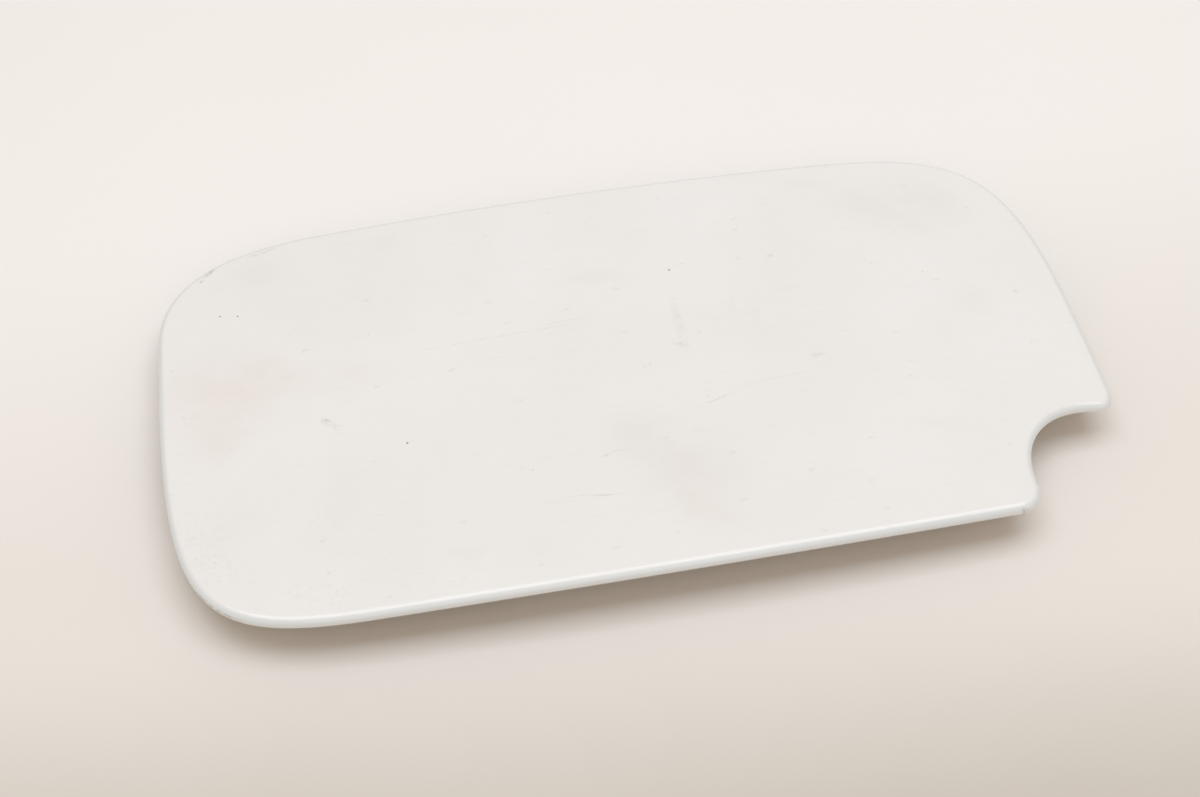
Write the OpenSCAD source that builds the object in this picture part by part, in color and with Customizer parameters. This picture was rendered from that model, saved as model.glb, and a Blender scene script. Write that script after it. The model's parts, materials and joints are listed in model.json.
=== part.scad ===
// Fuel door of a car: a double-crowned pressed steel flap with a hemmed edge that runs round a
// finger notch, an inner panel clamped in the hem, and a sprung hinge at its short end.
// Millimetres. The origin lies midway between the two body screw holes, on the face that seats
// on the car. +X runs along the door to its free end, +Z points out of the car.

/* [Door outline] */
// Overall length of the door
door_l = 236; // [225:1:250]
// Overall width of the door
door_w = 125.4; // [118:0.2:134]
// Outward bow of each long side
side_bow = 2.8; // [1.5:0.1:4]
// Outward bow of each short end
end_bow = 0.5; // [0.2:0.1:1.5]
// Reach of the far corner at the hinge end, along the long side
hinge_far_side = 42.7; // [36:0.1:50]
// Reach of the far corner at the hinge end, along the short end
hinge_far_end = 29.4; // [24:0.1:36]
// Reach of the near corner at the hinge end, along the long side
hinge_near_side = 47.8; // [40:0.1:56]
// Reach of the near corner at the hinge end, along the short end
hinge_near_end = 75; // [60:0.5:80]
// Reach of the free far corner along the long side
free_far_side = 51.5; // [44:0.1:58]
// Reach of the free far corner along the short end
free_far_end = 59.5; // [50:0.1:66]
// Fullness of the far corner at the hinge end, as a share of its reach
hinge_far_full = 0.67; // [0.55:0.01:0.8]
// Fullness of the near corner at the hinge end
hinge_near_full = 0.88; // [0.7:0.01:0.92]
// Fullness of the free far corner
free_far_full = 0.82; // [0.7:0.01:0.9]

/* [Finger notch] */
// Depth of the notch along the door
notch_depth = 27.1; // [22:0.1:32]
// Height of the notch across the door
notch_height = 27.3; // [22:0.1:32]
// Fall of the notch's upper wall towards the free end
notch_fall = 0.11; // [0:0.01:0.2]
// Reach of the curve between the two walls of the notch
notch_reach = 20.5; // [12:0.1:22]
// Fullness of that curve
notch_full = 0.58; // [0.5:0.01:0.7]
// Reach of the rounded point beside the notch along the notch's wall
horn_wall = 4; // [3:0.1:6]
// Reach of the rounded point along the short end
horn_end = 5.9; // [4:0.1:8]
// Reach of the lower corner of the notch along the long side
foot_side = 6.3; // [4:0.1:8]
// Reach of the lower corner of the notch along its wall
foot_wall = 6.4; // [4:0.1:6.6]

/* [Pressing] */
// Height of the outer face above the seat plane, at the middle of the door
door_h = 16.5; // [16:0.1:20]
// Drop of the outer face from its middle to each short end
crown_l = 3.35; // [2:0.05:3.6]
// Drop of the outer face from its middle to each long side
crown_w = 1.45; // [0.5:0.05:2]
// Sheet thickness of the outer skin
skin_t = 0.9; // [0.7:0.05:1.1]
// Sheet thickness of the inner panel
inner_t = 0.9; // [0.7:0.05:1.1]
// Clearance between the inner panel's edge and the hem on each face
hem_gap = 0.15; // [0.1:0.01:0.25]
// Width of the hem's return under the inner panel
hem_return = 7; // [5:0.5:8]
// Width of the inner panel's flange, from the hem's round to its wall
flange_w = 11.5; // [11:0.1:12]
// Width that each swaged wall of the inner panel takes up
wall_run = 4; // [3:0.25:5]
// Height of the inner panel's lowest face above the seat plane
seat_h = 8.6; // [8:0.1:9.4]
// Half width of the inner panel's raised field, which has round ends
field_r = 22; // [20:0.5:24]
// Distance from the hinge end to the centre of the field's near round
field_hinge_x = 71; // [70:0.5:74]
// Distance from the free end to the centre of the field's far round
field_free_x = 78; // [74:0.5:84]
// Gap between the skin and the raised field of the inner panel
field_gap = 2; // [1.5:0.1:3]
// Diameter of each lightening hole in the raised field
light_d = 16; // [10:0.5:20]
// Diameter of each drain hole in the seat ring
drain_d = 5; // [3:0.5:6]
// Distance of the inner panel's edge from the middle of the hem's round
edge_gap = 0.5; // [0.3:0.1:1]
// Clearance of each mastic pad above and below
pad_gap = 0.15; // [0.1:0.01:0.25]
// Diameter of each mastic pad between skin and inner panel
pad_d = 12; // [8:0.5:14]

/* [Hinge] */
// Distance from the body screws to the hinge pin
pin_to_screws = 36; // [34:0.5:42]
// Distance from the hinge pin to the door's hinge end
pin_inset = 6; // [5.8:0.1:6.4]
// Height of the hinge pin above the seat plane
pin_h = 4.6; // [4.5:0.05:4.8]
// Diameter of the hinge pin
pin_d = 4; // [3.5:0.1:4.2]
// Running clearance round the pin
pin_gap = 0.06; // [0.03:0.01:0.09]
// Wall of each nylon bush
bush_wall = 0.7; // [0.6:0.05:0.8]
// Thickness of each bush's flange
bush_flange = 1; // [0.8:0.1:1.2]
// Side play between a bush and the body plate
side_play = 0.4; // [0.3:0.05:0.5]
// Clearance of parts that are seated in one another
seat_gap = 0.05; // [0.03:0.01:0.1]
// Sheet thickness of the body plate
plate_t = 2; // [1.6:0.1:2.2]
// Sheet thickness of the door leaf
leaf_t = 1.6; // [1.4:0.1:1.8]
// Width of the door leaf across its ears
leaf_w = 46; // [44:0.5:50]
// Length of the door leaf's flat
leaf_l = 29.5; // [28:0.5:31]
// Radius of each ear of the door leaf round the pin
leaf_ear_r = 3.9; // [3.8:0.05:4]
// Length of the door leaf's ears from the pin
leaf_ear_l = 26; // [24:0.5:28]
// Length over which an ear of the leaf runs out to the flat
leaf_ear_run = 4; // [2:0.5:6]
// Corner radius of the door leaf
leaf_corner_r = 5; // [3:0.5:8]
// Inner radius of the folds in the hinge sheets
fold_in = 0.6; // [0.4:0.1:0.8]
// Length of the body plate's ears from the pin
plate_ear_l = 26; // [24:0.5:28]
// Length of the cut-out in the body plate, from the pin
window_l = 9; // [8.5:0.1:9.5]
// Clearance between the lanced loop and the leaf screws' heads
loop_gap = 0.4; // [0.3:0.1:1]
// Length of the lanced loop
loop_l = 4; // [3:0.5:6]
// Wall of the lanced loop
loop_wall = 1.2; // [0.8:0.1:1.6]
// Corner radius of the body plate
plate_corner_r = 8; // [5:0.5:12]
// Length of the body plate past its screws
plate_tail = 10; // [8:0.5:12]
// Width of the body plate at its screws
plate_w = 50; // [47:0.5:54]
// Spacing of the two body screw holes
screw_pitch = 36; // [32:0.5:38]
// Diameter of each body screw hole
screw_hole_d = 5.5; // [5:0.1:6]

/* [Fasteners] */
// Thread diameter of the leaf screws
leaf_screw_d = 5; // [4:0.1:5.2]
// Width across flats of the screw heads and nuts
hex_af = 8; // [7:0.1:9]
// Height of each screw head
head_h = 3; // [2.5:0.1:3.2]
// Thickness of each washer
washer_t = 0.9; // [0.6:0.1:1]
// Diameter of each washer
washer_d = 10; // [9:0.1:11]
// Thickness of each weld nut
nut_t = 3.2; // [2.8:0.1:3.4]
// Distance from the pin to the outer pair of leaf screws
screw_row = 19.5; // [18.5:0.1:20.5]
// Clearance between a washer and the fold beside it
washer_gap = 0.8; // [0.5:0.1:1.2]
// Distance from the outer pair to the middle leaf screw
screw_stagger = 9; // [8:0.1:10]

/* [Spring] */
// Diameter of the spring wire
wire_d = 1.2; // [1:0.05:1.3]
// Mean radius of the coil
coil_r = 3.3; // [3.2:0.05:3.4]
// Full turns of the coil
coil_turns = 8; // [6:1:8]
// Distance between turns
coil_pitch = 1.4; // [1.35:0.01:1.5]
// Length of each leg past the edge that it bears on
leg_past = 1; // [0.5:0.1:1.2]

/* [Rubber buffers] */
// Diameter of each buffer's foot
buffer_d = 9; // [8:0.5:11]
// Diameter of the hole that each buffer is pushed into
buffer_hole_d = 6; // [5:0.5:6.5]
// Height of a buffer's retaining head above the sheet
buffer_head_h = 2.2; // [1.8:0.1:3]
// Overhang of a buffer's retaining head
buffer_lip = 0.9; // [0.6:0.1:1.2]
// Distance of the buffers from the long sides of the door
buffer_inset = 23; // [21:0.5:25]
// Distance of the middle pair of buffers from the door's middle, towards the hinge
middle_pair_x = 22; // [12:1:34]
// Distance of the near free buffer from the notch's wall
near_buffer_x = 36; // [32:0.5:40]
// Distance of the far free buffer from the free end
far_buffer_x = 28; // [26:0.5:30]
// Distance of the far free buffer from the door's middle line
far_buffer_y = 14; // [8:0.5:18]

/* [Hidden] */

white = [0.91, 0.90, 0.87];
zinc = [0.70, 0.70, 0.68];
steel = [0.55, 0.55, 0.56];
nylon = [0.90, 0.88, 0.80];
black = [0.10, 0.10, 0.11];
grey = [0.45, 0.45, 0.47];

// Places along X and Z that several pieces share
pin_x = -pin_to_screws;
mid_x = pin_x - pin_inset + door_l / 2;
half_l = door_l / 2 - end_bow;
half_w = door_w / 2 - side_bow;
rim_r = skin_t + inner_t / 2 + hem_gap;
seat_top = seat_h + inner_t;
leaf_z = seat_h - leaf_t;
pin_r = pin_d / 2;
leaf_rear = rim_r + flange_w - pin_inset;
leaf_fold_r = leaf_t + fold_in;
plate_fold_r = plate_t + fold_in;
leaf_screw_pitch = leaf_w - washer_d - 2 * (leaf_fold_r + washer_gap);
ear_in = leaf_w / 2 + bush_flange + side_play;
ear_out = ear_in + plate_t;

// Small helpers on points
function unit(v) = v / norm(v);
function mix(a, b, t) = a + (b - a) * t;
function curve(p0, d0, p3, d3, h0, h3, n) = [for (i = [0 : n - 1])
    let (t = i / n, p1 = p0 + d0 * h0, p2 = p3 + d3 * h3)
    pow(1 - t, 3) * p0 + 3 * pow(1 - t, 2) * t * p1 + 3 * (1 - t) * t * t * p2 + pow(t, 3) * p3];
function run(p0, p1, n) = [for (i = [0 : n - 1]) mix(p0, p1, i / n)];

// The four bowed sides, about the middle of the door
function side_y(x) = half_w + side_bow * (1 - pow(x / half_l, 2));
function end_x(y) = half_l + end_bow * (1 - pow(y / half_w, 2));
function on_side(x, s) = [x, s * side_y(x)];
function on_end(y, s) = [s * end_x(y), y];
// Direction of a side at x, and of an end at y
function side_dir(x, s) = unit([1, -2 * s * side_bow * x / pow(half_l, 2)]);
function end_dir(y, s) = unit([-2 * s * end_bow * y / pow(half_w, 2), 1]);

// A corner curve: sx and sy say which corner, ra and rb are its reaches along side and end
function corner(sx, sy, ra, rb, full, n) =
    let (x = sx * (half_l - ra), y = sy * (half_w - rb),
        a = on_side(x, sy), b = on_end(y, sx), da = side_dir(x, sy) * sx, db = end_dir(y, sx) * sy)
    curve(a, da, b, db, ra * full, rb * full, n);
function backwards(pts, last) = [for (i = [0 : len(pts) - 1]) i == 0 ? last : pts[len(pts) - i]];
function bowed_side(x0, x1, s, n) = [for (i = [0 : n - 1]) on_side(mix(x0, x1, i / n), s)];
function bowed_end(y0, y1, s, n) = [for (i = [0 : n - 1]) on_end(mix(y0, y1, i / n), s)];

// Corner points of the notch, and the directions of its walls
wall_y = notch_height - half_w;
wall_x = half_l - notch_depth;
notch_in = [wall_x, wall_y];
horn = [end_x(wall_y), wall_y - notch_fall * (end_x(wall_y) - wall_x)];
foot = on_side(wall_x, -1);
to_in = unit(notch_in - horn);
horn_up = end_dir(horn[1], 1);
foot_out = side_dir(wall_x, -1) * -1;
small_full = 0.56;

// The whole outline, clockwise seen from outside the car, starting on the far long side
outline = concat(
    bowed_side(-half_l + hinge_far_side, half_l - free_far_side, 1, 12),
    corner(1, 1, free_far_side, free_far_end, free_far_full, 18),
    bowed_end(half_w - free_far_end, horn[1] + horn_end, 1, 4),
    curve(horn + horn_up * horn_end, -horn_up, horn + to_in * horn_wall, -to_in,
        horn_end * small_full, horn_wall * small_full, 6),
    run(horn + to_in * horn_wall, notch_in - to_in * notch_reach, 2),
    curve(notch_in - to_in * notch_reach, to_in, notch_in + [0, -notch_reach], [0, 1],
        notch_reach * notch_full, notch_reach * notch_full, 12),
    run(notch_in + [0, -notch_reach], foot + [0, foot_wall], 1),
    curve(foot + [0, foot_wall], [0, -1], foot + foot_out * foot_side, -foot_out,
        foot_wall * small_full, foot_side * small_full, 6),
    bowed_side(wall_x - foot_side, -half_l + hinge_near_side, -1, 13),
    corner(-1, -1, hinge_near_side, hinge_near_end, hinge_near_full, 18),
    bowed_end(hinge_near_end - half_w, half_w - hinge_far_end, -1, 2),
    backwards(corner(-1, 1, hinge_far_side, hinge_far_end, hinge_far_full, 16),
        on_end(half_w - hinge_far_end, -1)));
count = len(outline);

// Inward direction at each outline point, and the start of the rim's round
inward = [for (i = [0 : count - 1])
    let (t = unit(outline[(i + 1) % count] - outline[(i + count - 1) % count])) [t[1], -t[0]]];
round_at = [for (i = [0 : count - 1]) outline[i] + inward[i] * rim_r];

// Every point of a surface lies on a ray from the rim to a spine along the door's middle line
spine_n = 7;
spine_from = field_hinge_x - door_l / 2;
spine_to = door_l / 2 - field_free_x;
spine = [for (j = [0 : spine_n - 1]) [mix(spine_from, spine_to, j / (spine_n - 1)), 0]];
function clamp_x(x) = min(max(x, spine_from), spine_to);
function spine_index(x) = round((clamp_x(x) - spine_from) / (spine_to - spine_from) * (spine_n - 1));
ray_end = [for (p = round_at) [clamp_x(p[0]), 0]];
ray = [for (i = [0 : count - 1]) unit(ray_end[i] - round_at[i])];
function part_way(i, t) = mix(round_at[i], ray_end[i], t);
function along(i, d) = round_at[i] + ray[i] * d;

// The crowned outer face, and its slope
function face_z(p) = door_h - crown_l * pow(2 * p[0] / door_l, 2) - crown_w * pow(2 * p[1] / door_w, 2);
function slope(p, d) =
    -8 * (crown_l * p[0] * d[0] / pow(door_l, 2) + crown_w * p[1] * d[1] / pow(door_w, 2));
function under(p, depth) = [p[0], p[1], face_z(p) - depth];

// A ring of the rim's round, of radius r about the hem's core, at angle a from the outer face
function rim_ring(r, a) = [for (i = [0 : count - 1])
    let (p = round_at[i], n = inward[i], s = slope(p, n), w = sqrt(1 + s * s),
        o = -r * sin(a) / w, u = (r * cos(a) - rim_r) / w)
    [p[0] + n[0] * (o - s * u), p[1] + n[1] * (o - s * u), face_z(p) + s * o + u]];
function face_ring(t, depth) = [for (i = [0 : count - 1]) under(part_way(i, t), depth)];
function flange_ring(d, depth) = [for (i = [0 : count - 1]) under(along(i, d), depth)];
function spine_line(depth) = [for (p = spine) under(p, depth)];

// Triangles between two rings, and between the last ring and the spine; far is the outer face
function band(a, b) = [for (i = [0 : count - 1]) let (j = (i + 1) % count)
    each [[a + i, b + j, a + j], [a + i, b + i, b + j]]];
spine_of = [for (p = round_at) spine_index(p[0])];
function middle(a, s) = [for (i = [0 : count - 1])
    let (j = (i + 1) % count, u = spine_of[i], v = spine_of[j])
    each concat([[a + i, a + j, s + v]],
        [for (w = [0 : 1 : abs(v - u) - 1])
            [a + i, s + u + sign(v - u) * (w + 1), s + u + sign(v - u) * w]])];

// A closed sheet from rings that run from one side's middle over the edge to the other's middle
module sheet(rings, top_spine, low_spine) {
    n = len(rings);
    s0 = n * count;
    s1 = s0 + spine_n;
    translate([mid_x, 0, 0])
        polyhedron(
            points = concat([for (r = rings) each r], top_spine, low_spine),
            faces = concat(
                [for (k = [0 : n - 2]) each band(k * count, (k + 1) * count)],
                [for (f = middle((n - 1) * count, s1)) [f[2], f[1], f[0]]],
                middle(0, s0)));
}

// Outer skin: crowned face, round rim and the hem's return under the inner panel
round_steps = 5;
core_r = rim_r - skin_t;
module outer_skin() {
    outer = concat(
        [for (t = [0.75, 0.5, 0.25]) face_ring(t, 0)],
        [for (k = [0 : round_steps]) rim_ring(rim_r, 180 * k / round_steps)],
        [flange_ring(hem_return, 2 * rim_r)]);
    inner = concat(
        [flange_ring(hem_return, 2 * rim_r - skin_t)],
        [for (k = [round_steps - 1 : -1 : 0]) rim_ring(core_r, 180 * k / (round_steps - 1))],
        [for (t = [0.25, 0.5, 0.75]) face_ring(t, skin_t)]);
    color(white)
        sheet(concat(outer, inner), spine_line(0), spine_line(skin_t));
}

// Share of a swaged wall's drop at each of its rings
wall_steps = [[0, 0], [0.25, 0.14], [0.75, 0.86], [1, 1]];
bend = tan(22.5);
flange_depth = skin_t + hem_gap;
field_depth = skin_t + field_gap;

// A ring on the outer wall, which falls from the flange to the seat, and on the inner one
function outer_wall(share, low) = [for (i = [0 : count - 1])
    let (d = flange_w + wall_run * share[0] - (low ? inner_t * bend : 0), p = along(i, d),
        top = mix(face_z(p) - flange_depth, seat_top, share[1]))
    [p[0], p[1], top - (low ? inner_t : 0)]];
function inner_wall(share, low) = [for (i = [0 : count - 1])
    let (d = field_r + wall_run * (1 - share[0]) - (low ? inner_t * bend : 0),
        p = ray_end[i] - ray[i] * d, top = mix(seat_top, face_z(p) - field_depth, share[1]))
    [p[0], p[1], top - (low ? inner_t : 0)]];

// Places of the buffers, screws, pads and holes, about the middle of the door
buffer_at = [
    [-middle_pair_x, side_y(middle_pair_x) - buffer_inset],
    [-middle_pair_x, buffer_inset - side_y(middle_pair_x)],
    [wall_x - near_buffer_x, buffer_inset - side_y(wall_x - near_buffer_x)],
    [half_l - far_buffer_x, far_buffer_y]];
leaf_screw_at = [
    [pin_x + screw_row - mid_x, leaf_screw_pitch / 2],
    [pin_x + screw_row - mid_x, -leaf_screw_pitch / 2],
    [pin_x + screw_row + screw_stagger - mid_x, 0]];
light_at = [for (t = [0, 0.5, 1]) [mix(spine_from, spine_to, t), 0]];
pad_at = [for (t = [0.25, 0.75]) [mix(spine_from, spine_to, t), 0]];
drain_at = [for (p = light_at, s = [-1, 1])
    [p[0], s * (side_y(p[0]) - rim_r - flange_w - wall_run - drain_d)]];

module on_door(p) {
    translate([mid_x + p[0], p[1], 0])
        children();
}

// Inner panel: flange in the hem, swaged seat ring, and a raised field that backs the skin
module inner_panel() {
    top = concat(
        [flange_ring(edge_gap, flange_depth)],
        [for (s = wall_steps) outer_wall(s, false)],
        [for (s = wall_steps) inner_wall(s, false)]);
    low = concat(
        [flange_ring(edge_gap, flange_depth + inner_t)],
        [for (s = wall_steps) outer_wall(s, true)],
        [for (s = wall_steps) inner_wall(s, true)]);
    rings = concat([for (k = [len(top) - 1 : -1 : 0]) top[k]], low);
    color(white)
        difference() {
            sheet(rings, spine_line(field_depth), spine_line(field_depth + inner_t));
            for (p = leaf_screw_at)
                on_door(p) cylinder(d = leaf_screw_d + 2 * seat_gap, h = door_h, $fn = 32);
            for (p = buffer_at)
                on_door(p) cylinder(d = buffer_hole_d, h = door_h, $fn = 32);
            for (p = light_at)
                on_door(p) cylinder(d = light_d, h = door_h, $fn = 48);
            for (p = drain_at)
                on_door(p) cylinder(d = drain_d, h = door_h, $fn = 24);
        }
}

// Mastic pad between the raised field and the skin
module mastic_pad(k) {
    p = pad_at[k];
    color(grey)
        on_door(p)
            translate([0, 0, face_z(p) - field_depth + pad_gap])
                cylinder(d = pad_d, h = field_gap - 2 * pad_gap, $fn = 32);
}

// The point where a line from p touches a circle of radius r about c, above or below
function touch(c, r, p, s) = let (a = atan2(p[1] - c[1], p[0] - c[0]) + s * acos(r / norm(p - c)))
    c + r * [cos(a), sin(a)];

// Section of a folded sheet, seen along X, with its flat at the bottom
module channel(half, t, tall) {
    difference() {
        translate([-half, 0]) square([2 * half, tall]);
        translate([t - half, t]) square([2 * (half - t), tall]);
    }
}
// What the outer radius of the two folds takes off the corners of that section
module fold_corners(half, r) {
    for (s = [-1, 1])
        difference() {
            translate([s * (half - r / 2 + 0.5), r / 2 - 0.5])
                square([r + 1, r + 1], center = true);
            translate([s * (half - r), r]) circle(r = r, $fn = 48);
        }
}

// Stands a shape drawn in X and Z upright, through the whole width
module side_cut(wide) {
    translate([0, wide, 0])
        rotate([90, 0, 0])
            linear_extrude(2 * wide) children();
}
// Runs a section drawn in Y and Z along X
module section_cut(x0, x1) {
    translate([x0, 0, 0])
        rotate([90, 0, 90])
            linear_extrude(x1 - x0) children();
}

// Hinge leaf on the door: a flat under the seat ring, with two ears folded down to the pin
leaf_front = pin_x + leaf_rear + leaf_l;
module leaf_side() {
    c = [pin_x, pin_h];
    ear_end = pin_x + leaf_ear_l;
    low = [pin_x + leaf_ear_l / 2, leaf_z - leaf_t];
    high = [pin_x + leaf_rear * 0.8, seat_h];
    translate(c) circle(r = leaf_ear_r, $fn = 48);
    polygon([c, touch(c, leaf_ear_r, low, -1), low, [ear_end - leaf_ear_run, leaf_z - leaf_t],
        [ear_end, leaf_z], [leaf_front, leaf_z], [leaf_front, seat_h], high,
        touch(c, leaf_ear_r, high, 1)]);
}
module rounded_plan(x0, x1, w, r) {
    translate([x0, -w / 2]) square([x1 - r - x0, w]);
    translate([x1 - 2 * r, r - w / 2]) square([2 * r, w - 2 * r]);
    for (s = [-1, 1])
        translate([x1 - r, s * (w / 2 - r)]) circle(r = r, $fn = 48);
}
module hinge_leaf() {
    color(zinc)
        difference() {
            intersection() {
                translate([0, 0, seat_h])
                    section_cut(pin_x - leaf_ear_r - 1, leaf_front + 1)
                        mirror([0, 1]) channel(leaf_w / 2, leaf_t, seat_h);
                side_cut(leaf_w / 2 + 1) leaf_side();
                linear_extrude(seat_h + 1)
                    rounded_plan(pin_x - leaf_ear_r - 1, leaf_front, leaf_w, leaf_corner_r);
            }
            translate([pin_x - leaf_ear_r - 2, leaf_t - leaf_w / 2, leaf_z - 1])
                cube([2 + leaf_ear_r + leaf_rear, leaf_w - 2 * leaf_t, leaf_t + 2]);
            translate([0, 0, seat_h])
                section_cut(pin_x + leaf_rear, leaf_front + 1)
                    mirror([0, 1]) fold_corners(leaf_w / 2, leaf_fold_r);
            translate([pin_x, leaf_w, pin_h])
                rotate([90, 0, 0]) cylinder(r = bush_r + seat_gap, h = 2 * leaf_w, $fn = 48);
            for (p = leaf_screw_at)
                on_door(p) cylinder(d = leaf_screw_d + 2 * seat_gap, h = door_h, $fn = 32);
        }
}

// Hexagon screw that holds the leaf, washer under its head, and weld nut inside the panel
module leaf_screw(k) {
    tip = seat_top + nut_t;
    head_z = leaf_z - washer_t - 2 * seat_gap - head_h;
    color(steel)
        on_door(leaf_screw_at[k]) {
            translate([0, 0, head_z])
                intersection() {
                    cylinder(d = hex_af / cos(30), h = head_h, $fn = 6);
                    rotate_extrude($fn = 48)
                        polygon([[0, 0], [hex_af * 0.47, 0], [hex_af * 0.58, 0.5],
                            [hex_af * 0.58, head_h], [0, head_h]]);
                }
            translate([0, 0, head_z])
                cylinder(d = leaf_screw_d, h = tip - head_z, $fn = 32);
        }
}
module leaf_washer(k) {
    color(zinc)
        on_door(leaf_screw_at[k])
            translate([0, 0, leaf_z - washer_t - seat_gap])
                difference() {
                    cylinder(d = washer_d, h = washer_t, $fn = 48);
                    translate([0, 0, -1])
                        cylinder(d = leaf_screw_d + 4 * seat_gap, h = washer_t + 2, $fn = 32);
                }
}
module weld_nut(k) {
    color(steel)
        on_door(leaf_screw_at[k])
            translate([0, 0, seat_top + seat_gap])
                difference() {
                    union() {
                        cylinder(d = hex_af / cos(30), h = nut_t - seat_gap, $fn = 6);
                        cylinder(d = hex_af + 3, h = nut_t * 0.25, $fn = 48);
                    }
                    translate([0, 0, -1])
                        cylinder(d = leaf_screw_d + 2 * seat_gap, h = nut_t + 2, $fn = 32);
                }
}

// Body plate: flat with two screw holes, two ears folded up to the pin, and a lanced loop
// that holds the spring's leg
ear_rise = leaf_z;
loop_x = pin_x + screw_row - hex_af / cos(30) / 2 - loop_gap - loop_l;
spring_half = coil_pitch * (coil_turns + 0.5) / 2;
module plate_side() {
    c = [pin_x, pin_h];
    high = [pin_x + plate_ear_l / 2, ear_rise];
    translate(c) circle(r = pin_h, $fn = 48);
    polygon([c, [pin_x, 0], [plate_tail, 0], [plate_tail, plate_t],
        [pin_x + plate_ear_l + ear_rise - plate_t, plate_t], [pin_x + plate_ear_l, ear_rise],
        high, touch(c, pin_h, high, 1)]);
}
module plate_plan() {
    neck = pin_x + plate_ear_l;
    translate([pin_x - pin_h - 1, -ear_out])
        square([neck - pin_x + pin_h + 1, 2 * ear_out]);
    rounded_plan(neck - 1, plate_tail, plate_w, plate_corner_r);
}
module hinge_plate() {
    loop_w = wire_d + 2 * loop_wall + 2;
    loop_low = pin_h + leg_z(loop_x + loop_l - pin_x) + wire_d / 2 + seat_gap;
    color(zinc) {
        difference() {
            intersection() {
                section_cut(pin_x - pin_h - 1, plate_tail + 1)
                    channel(ear_out, plate_t, 3 * pin_h);
                side_cut(ear_out + 1) plate_side();
                linear_extrude(3 * pin_h) plate_plan();
            }
            translate([pin_x - pin_h - 2, plate_t - ear_out, -1])
                cube([pin_h + 2 + window_l, 2 * (ear_out - plate_t), plate_t + 2]);
            section_cut(pin_x + window_l, pin_x + plate_ear_l + ear_rise)
                fold_corners(ear_out, plate_fold_r);
            translate([pin_x, 2 * ear_out, pin_h])
                rotate([90, 0, 0]) cylinder(r = pin_r + seat_gap, h = 4 * ear_out, $fn = 48);
            for (s = [-1, 1])
                translate([0, s * screw_pitch / 2, -1])
                    cylinder(d = screw_hole_d, h = plate_t + 2, $fn = 48);
        }
        translate([loop_x, -spring_half, 0])
            difference() {
                translate([0, -loop_w / 2, plate_t / 2])
                    cube([loop_l, loop_w, loop_low + loop_wall - plate_t / 2]);
                translate([-1, loop_wall - loop_w / 2, plate_t])
                    cube([loop_l + 2, loop_w - 2 * loop_wall, loop_low - plate_t]);
            }
    }
}

// Hinge pin with a domed head, and a groove for its clip
clip_t = 0.8;
groove_r = pin_r * 0.75;
clip_y = ear_out + seat_gap * 2;
module hinge_pin() {
    head_t = 1.6;
    tail = clip_y + clip_t + 1.6;
    color(steel)
        translate([pin_x, 0, pin_h])
            rotate([-90, 0, 0])
                rotate_extrude($fn = 48)
                    polygon([[0, -ear_out - seat_gap - head_t], [pin_r, -ear_out - seat_gap - head_t],
                        [pin_r * 1.6, -ear_out - seat_gap - head_t * 0.55],
                        [pin_r * 1.6, -ear_out - seat_gap], [pin_r, -ear_out - seat_gap],
                        [pin_r, clip_y - seat_gap], [groove_r, clip_y - seat_gap],
                        [groove_r, clip_y + clip_t + seat_gap], [pin_r, clip_y + clip_t + seat_gap],
                        [pin_r, tail - 0.5], [pin_r - 0.5, tail], [0, tail]]);
}

// Open retaining clip in the pin's groove
module pin_clip() {
    color(steel)
        translate([pin_x, clip_y + clip_t, pin_h])
            rotate([90, 0, 0])
                linear_extrude(clip_t)
                    difference() {
                        circle(r = pin_r * 1.8, $fn = 48);
                        circle(r = groove_r + seat_gap, $fn = 32);
                        translate([0, -pin_r * 2 - groove_r * 0.3])
                            square([groove_r * 1.5, pin_r * 4], center = true);
                        for (a = [150, 30])
                            rotate(a) translate([pin_r * 1.25, 0]) circle(r = pin_r * 0.28, $fn = 24);
                    }
}

// Flanged nylon bush in an ear of the leaf
bush_r = pin_r + pin_gap + bush_wall;
module pin_bush(s) {
    inside = leaf_w / 2 - leaf_t - 0.4;
    outside = leaf_w / 2 + seat_gap;
    color(nylon)
        translate([pin_x, 0, pin_h])
            rotate([-90 * s, 0, 0])
                rotate_extrude($fn = 48)
                    polygon([[pin_r + pin_gap, inside], [bush_r, inside], [bush_r, outside],
                        [leaf_ear_r - 0.2, outside], [leaf_ear_r - 0.2, outside + bush_flange],
                        [pin_r + pin_gap, outside + bush_flange]]);
}

// Torsion spring: one leg under the plate's loop, one over the rear edge of the leaf
leg_low = [loop_x + loop_l + leg_past - pin_x, plate_t + wire_d * 1.3 - pin_h];
leg_high = [leaf_rear + leg_past, seat_h - pin_h + wire_d * 0.75];
function touch_angle(p, s) = atan2(p[1], p[0]) + s * acos(coil_r / norm(p));
low_a = touch_angle(leg_low, -1);
high_a = touch_angle(leg_high, 1);
function leg_z(dx) = let (p = coil_r * [cos(low_a), sin(low_a)])
    p[1] + (leg_low[1] - p[1]) * (dx - p[0]) / (leg_low[0] - p[0]);
turn_a = 360 * coil_turns + high_a - low_a;
spring_steps = coil_turns * 12 + 6;
function spring_y(t) = mix(-spring_half, spring_half, t);
spring_path = concat(
    [[leg_low[0], -spring_half, leg_low[1]]],
    [for (k = [0 : spring_steps]) let (t = k / spring_steps, a = low_a + turn_a * t)
        [coil_r * cos(a), spring_y(t), coil_r * sin(a)]],
    [[leg_high[0], spring_half, leg_high[1]]]);
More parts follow.
